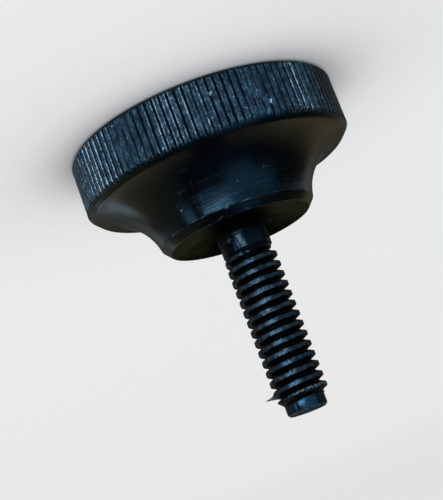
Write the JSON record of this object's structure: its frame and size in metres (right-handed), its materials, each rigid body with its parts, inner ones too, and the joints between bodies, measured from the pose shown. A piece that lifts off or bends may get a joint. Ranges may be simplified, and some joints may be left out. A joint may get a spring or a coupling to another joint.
{
  "type": "thumb screw",
  "caption": "One-piece black plastic thumb screw: round knurled head with a coved boss, plain neck, right-hand thread and a plain point.",
  "frame": {"origin": "centre of the head's flat top face, which the screw stands on", "axes": "+Z along the stud, from the head to the point"},
  "size_m": [0.0334, 0.0334, 0.037],
  "materials": {
    "black_plastic": "black turned plastic with a satin sheen; the knurl is a little torn and dusty"
  },
  "bodies": {
    "root": {"thumb_screw": "black_plastic"}
  },
  "joints": []
}
